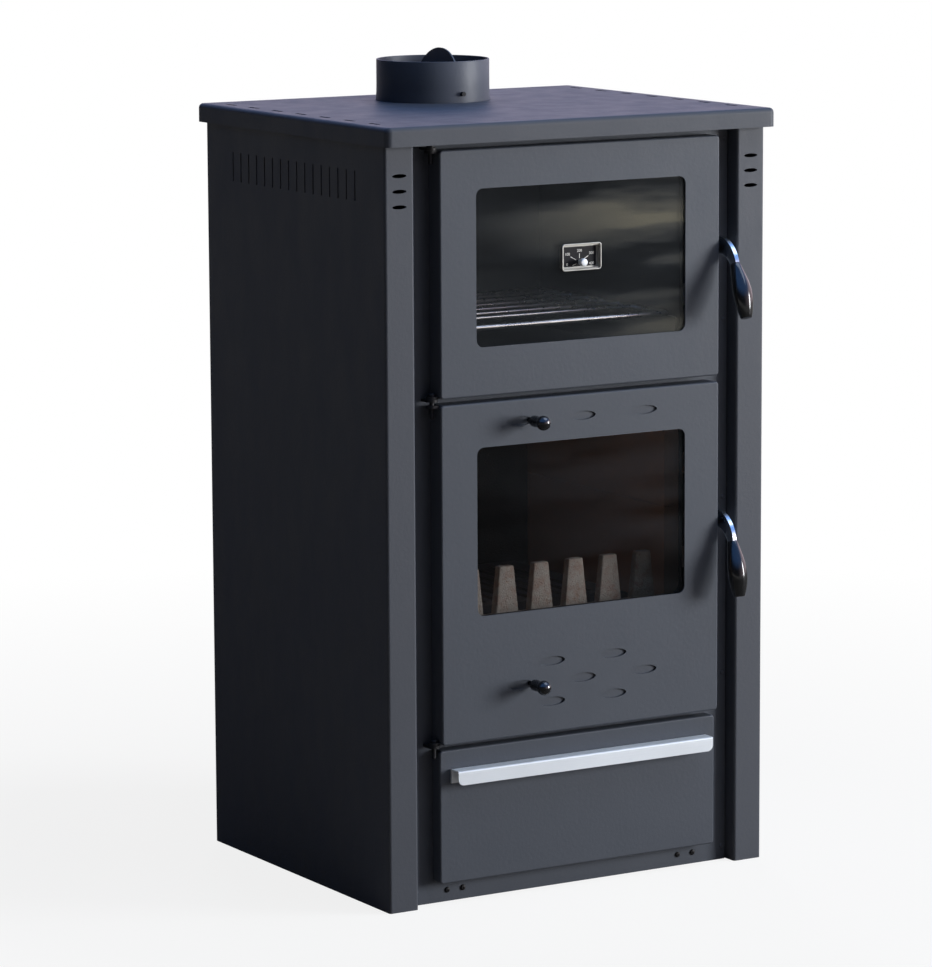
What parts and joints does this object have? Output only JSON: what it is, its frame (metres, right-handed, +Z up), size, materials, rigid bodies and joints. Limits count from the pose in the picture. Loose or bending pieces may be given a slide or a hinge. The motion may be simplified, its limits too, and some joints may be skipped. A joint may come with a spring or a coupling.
{
  "type": "wood cookstove",
  "caption": "Upright wood-burning cookstove with an oven over a glazed firebox, lever handles, air slides, a storage drawer and a flue collar in its cooking top.",
  "frame": {"origin": "on the floor, in the middle of the casing's footprint", "axes": "+Z up, -Y towards the person who faces the doors, +X to that person's right"},
  "size_m": [0.503, 0.4725, 0.9211],
  "materials": {
    "casing_paint": "fine-textured anthracite powder coat, satin",
    "front_paint": "fine-textured anthracite powder coat, satin",
    "inner_steel": "heat-proof black paint, matt",
    "oven_enamel": "black enamel, glossy",
    "zinc_steel": "zinc-plated, satin",
    "bright_steel": "brushed bright steel",
    "chrome": "polished",
    "cast_iron": "rough as cast",
    "fireclay": "reddish-brown fireclay, matt",
    "glass": "clear heat-proof glass, polished",
    "rope": "woven glass rope, matt",
    "black_grip": "gloss black",
    "dial": "black scale with white marks"
  },
  "bodies": {
    "casing": {"base_plate": "inner_steel", "left_side_panel": "casing_paint", "right_side_panel": "casing_paint", "back_panel": "casing_paint", "back_screws": "zinc_steel", "front_frame": "front_paint", "frame_rivets": "front_paint", "plinth_screws": "zinc_steel", "top_plate": "casing_paint", "inner_jacket": "inner_steel", "jacket_top": "inner_steel", "flue_collar": "casing_paint", "oven_box": "oven_enamel", "oven_rack_runners": "oven_enamel", "oven_rack": "chrome", "ash_floor": "inner_steel", "grate_shelf": "inner_steel", "fire_grate": "cast_iron", "log_guard": "cast_iron", "left_firebricks": "fireclay", "right_firebricks": "fireclay", "rear_firebricks": "fireclay", "ash_pan": "zinc_steel", "hinge_brackets": "front_paint", "hinge_pins": "zinc_steel", "drawer_rails": "zinc_steel"},
    "damper": {"damper_spindle": "zinc_steel", "damper_disc": "inner_steel"},
    "oven_door": {"oven_door_panel": "front_paint", "oven_door_liner": "inner_steel", "oven_door_glass": "glass", "oven_glass_clips": "zinc_steel", "oven_glass_screws": "zinc_steel", "oven_door_seal": "rope", "oven_door_lugs": "front_paint", "oven_handle_pivot": "chrome", "thermometer_case": "chrome", "thermometer_dial": "dial"},
    "oven_handle": {"oven_handle_lever": "chrome", "oven_handle_grip": "black_grip"},
    "thermometer_needle": {"thermometer_pointer": "chrome"},
    "fire_door": {"fire_door_panel": "front_paint", "fire_door_liner": "inner_steel", "fire_door_glass": "glass", "fire_glass_clips": "zinc_steel", "fire_glass_screws": "zinc_steel", "fire_door_seal": "rope", "fire_door_lugs": "front_paint", "fire_handle_pivot": "chrome", "air_slide_guides": "zinc_steel"},
    "fire_handle": {"fire_handle_lever": "chrome", "fire_handle_grip": "black_grip"},
    "upper_air": {"upper_air_slide": "front_paint", "upper_air_knob": "black_grip"},
    "lower_air": {"lower_air_slide": "front_paint", "lower_air_knob": "black_grip"},
    "drawer": {"drawer_front": "front_paint", "drawer_box": "zinc_steel", "drawer_handle": "bright_steel"}
  },
  "joints": [
    {"name": "oven_door_swing", "type": "hinge", "parent": "casing", "child": "oven_door", "pos_m": [-0.1862, -0.198, 0.7], "axis": [0, 0, -1], "range_deg": [0, 110]},
    {"name": "fire_door_swing", "type": "hinge", "parent": "casing", "child": "fire_door", "pos_m": [-0.1862, -0.198, 0.37], "axis": [0, 0, -1], "range_deg": [0, 110]},
    {"name": "oven_handle_turn", "type": "hinge", "parent": "oven_door", "child": "oven_handle", "pos_m": [0.1905, -0.197, 0.71], "axis": [-1, 0, 0], "range_deg": [0, 40]},
    {"name": "fire_handle_turn", "type": "hinge", "parent": "fire_door", "child": "fire_handle", "pos_m": [0.1905, -0.197, 0.4], "axis": [-1, 0, 0], "range_deg": [0, 40]},
    {"name": "thermometer_needle_turn", "type": "hinge", "parent": "oven_door", "child": "thermometer_needle", "pos_m": [0, -0.2035, 0.703], "axis": [0, 1, 0], "range_deg": [0, 190]},
    {"name": "upper_air_slide", "type": "slide", "parent": "fire_door", "child": "upper_air", "axis": [-1, 0, 0], "range_m": [0, 0.026]},
    {"name": "lower_air_slide", "type": "slide", "parent": "fire_door", "child": "lower_air", "axis": [-1, 0, 0], "range_m": [0, 0.026]},
    {"name": "drawer_slide", "type": "slide", "parent": "casing", "child": "drawer", "axis": [0, -1, 0], "range_m": [0, 0.28]},
    {"name": "damper_turn", "type": "hinge", "parent": "casing", "child": "damper", "pos_m": [0, 0.11, 0.872], "axis": [0, 1, 0], "range_deg": [-8.5, 81.5]}
  ]
}
